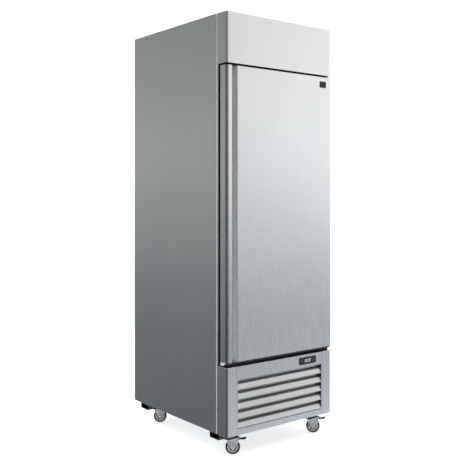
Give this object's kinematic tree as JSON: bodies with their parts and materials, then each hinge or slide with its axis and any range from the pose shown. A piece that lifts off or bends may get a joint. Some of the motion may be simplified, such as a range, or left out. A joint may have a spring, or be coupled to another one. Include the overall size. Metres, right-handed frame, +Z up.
{
  "type": "reach-in refrigerator",
  "caption": "Upright stainless steel reach-in refrigerator with a solid hinged door, a louvered grille below and casters.",
  "frame": {"origin": "on the floor, under the middle of the cabinet", "axes": "+Z up, the door faces -Y, +X to the right as seen from the front"},
  "size_m": [0.686, 0.832, 2.09],
  "materials": {
    "steel_front": "satin",
    "steel_side": "satin",
    "galvanised": "matte",
    "liner": "satin",
    "foam": "matte",
    "black_plastic": "matte",
    "display_lens": "gloss",
    "black_paint": "satin",
    "zinc": "satin",
    "shelf_wire": "satin",
    "coil_fins": "satin",
    "lamp_lens": "satin",
    "copper": "satin",
    "white_plastic": "satin",
    "gasket_rubber": "matte",
    "emblem_black": "gloss",
    "button_grey": "satin",
    "fan_metal": "satin",
    "tyre_rubber": "matte"
  },
  "bodies": {
    "cabinet": {"side_panel_left": "steel_side", "side_panel_right": "steel_side", "back_panel": "galvanised", "top_panel": "galvanised", "box_underside": "galvanised", "front_frame": "steel_front", "inner_liner": "liner", "insulation_foam": "foam", "header_panel": "steel_front", "grille_stiles": "steel_front", "louver_panel": "steel_front", "controller_case": "black_plastic", "controller_display": "display_lens", "base_plate": "galvanised", "base_rails": "black_paint", "caster_plates": "zinc", "fasteners": "zinc", "top_hinge_bracket": "black_paint", "bottom_hinge_bracket": "black_paint", "door_switch_body": "black_plastic", "shelf_standards": "liner", "shelf_clips": "zinc", "wire_shelf_lower": "shelf_wire", "wire_shelf_middle": "shelf_wire", "wire_shelf_upper": "shelf_wire", "evaporator_coil": "coil_fins", "evaporator_cover": "liner", "evaporator_fan_motor": "black_paint", "interior_lamp": "lamp_lens", "compressor": "black_paint", "condenser_coil": "coil_fins", "condenser_fan_shroud": "galvanised", "refrigerant_lines": "copper", "terminal_box": "black_plastic", "rear_grille": "galvanised"},
    "door": {"door_skin": "steel_front", "door_handle": "steel_front", "door_end_caps": "black_plastic", "door_liner": "white_plastic", "door_foam": "foam", "door_gasket": "gasket_rubber", "door_emblem": "emblem_black", "hinge_bushes": "white_plastic"},
    "door_switch_plunger": {"door_switch_plunger": "white_plastic"},
    "button_defrost": {"button_defrost": "button_grey"},
    "button_lamp": {"button_lamp": "button_grey"},
    "button_down": {"button_down": "button_grey"},
    "button_up": {"button_up": "button_grey"},
    "evaporator_fan": {"evaporator_fan": "white_plastic"},
    "condenser_fan": {"condenser_fan": "fan_metal"},
    "caster_fork_front_left": {"caster_fork_front_left": "zinc"},
    "caster_wheel_front_left": {"caster_wheel_front_left": "tyre_rubber"},
    "brake_pedal_front_left": {"brake_pedal_front_left": "black_paint"},
    "caster_fork_front_right": {"caster_fork_front_right": "zinc"},
    "caster_wheel_front_right": {"caster_wheel_front_right": "tyre_rubber"},
    "brake_pedal_front_right": {"brake_pedal_front_right": "black_paint"},
    "caster_fork_rear_left": {"caster_fork_rear_left": "zinc"},
    "caster_wheel_rear_left": {"caster_wheel_rear_left": "tyre_rubber"},
    "caster_fork_rear_right": {"caster_fork_rear_right": "zinc"},
    "caster_wheel_rear_right": {"caster_wheel_rear_right": "tyre_rubber"}
  },
  "joints": [
    {"name": "door_hinge", "type": "hinge", "parent": "cabinet", "child": "door", "pos_m": [0.321, -0.387, 1.14], "axis": [0, 0, 1], "range_deg": [0, 120]},
    {"name": "door_switch_press", "type": "slide", "parent": "cabinet", "child": "door_switch_plunger", "axis": [0, -1, 0], "range_m": [0, 0.0062]},
    {"name": "button_defrost_press", "type": "slide", "parent": "cabinet", "child": "button_defrost", "axis": [0, 1, 0], "range_m": [0, 0.001], "stiffness_N_per_m": 300},
    {"name": "button_lamp_press", "type": "slide", "parent": "cabinet", "child": "button_lamp", "axis": [0, 1, 0], "range_m": [0, 0.001], "stiffness_N_per_m": 300},
    {"name": "button_down_press", "type": "slide", "parent": "cabinet", "child": "button_down", "axis": [0, 1, 0], "range_m": [0, 0.001], "stiffness_N_per_m": 300},
    {"name": "button_up_press", "type": "slide", "parent": "cabinet", "child": "button_up", "axis": [0, 1, 0], "range_m": [0, 0.001], "stiffness_N_per_m": 300},
    {"name": "evaporator_fan_spin", "type": "hinge", "parent": "cabinet", "child": "evaporator_fan", "pos_m": [0, -0.165, 1.862], "axis": [0, 0, 1], "continuous": true},
    {"name": "condenser_fan_spin", "type": "hinge", "parent": "cabinet", "child": "condenser_fan", "pos_m": [-0.108, -0.246, 0.253], "axis": [0, 1, 0], "continuous": true},
    {"name": "caster_swivel_front_left", "type": "hinge", "parent": "cabinet", "child": "caster_fork_front_left", "pos_m": [-0.265, -0.345, 0.073], "axis": [0, 0, 1], "continuous": true},
    {"name": "caster_roll_front_left", "type": "hinge", "parent": "caster_fork_front_left", "child": "caster_wheel_front_left", "pos_m": [-0.25712, -0.35116, 0.035], "axis": [0.6157, 0.788, 0], "continuous": true},
    {"name": "brake_front_left_press", "type": "hinge", "parent": "caster_fork_front_left", "child": "brake_pedal_front_left", "pos_m": [-0.24057, -0.36409, 0.069], "axis": [0.6157, 0.788, 0], "range_deg": [0, 10]},
    {"name": "caster_swivel_front_right", "type": "hinge", "parent": "cabinet", "child": "caster_fork_front_right", "pos_m": [0.265, -0.345, 0.073], "axis": [0, 0, 1], "continuous": true},
    {"name": "caster_roll_front_right", "type": "hinge", "parent": "caster_fork_front_right", "child": "caster_wheel_front_right", "pos_m": [0.27288, -0.35116, 0.035], "axis": [0.6157, 0.788, 0], "continuous": true},
    {"name": "brake_front_right_press", "type": "hinge", "parent": "caster_fork_front_right", "child": "brake_pedal_front_right", "pos_m": [0.28943, -0.36409, 0.069], "axis": [0.6157, 0.788, 0], "range_deg": [0, 10]},
    {"name": "caster_swivel_rear_left", "type": "hinge", "parent": "cabinet", "child": "caster_fork_rear_left", "pos_m": [-0.265, 0.295, 0.073], "axis": [0, 0, 1], "continuous": true},
    {"name": "caster_roll_rear_left", "type": "hinge", "parent": "caster_fork_rear_left", "child": "caster_wheel_rear_left", "pos_m": [-0.25712, 0.28884, 0.035], "axis": [0.6157, 0.788, 0], "continuous": true},
    {"name": "caster_swivel_rear_right", "type": "hinge", "parent": "cabinet", "child": "caster_fork_rear_right", "pos_m": [0.265, 0.295, 0.073], "axis": [0, 0, 1], "continuous": true},
    {"name": "caster_roll_rear_right", "type": "hinge", "parent": "caster_fork_rear_right", "child": "caster_wheel_rear_right", "pos_m": [0.27288, 0.28884, 0.035], "axis": [0.6157, 0.788, 0], "continuous": true}
  ],
  "couplings": [
    {"joint": "door_switch_press", "follows": "door_hinge", "m_per_rad": 0.0029}
  ]
}
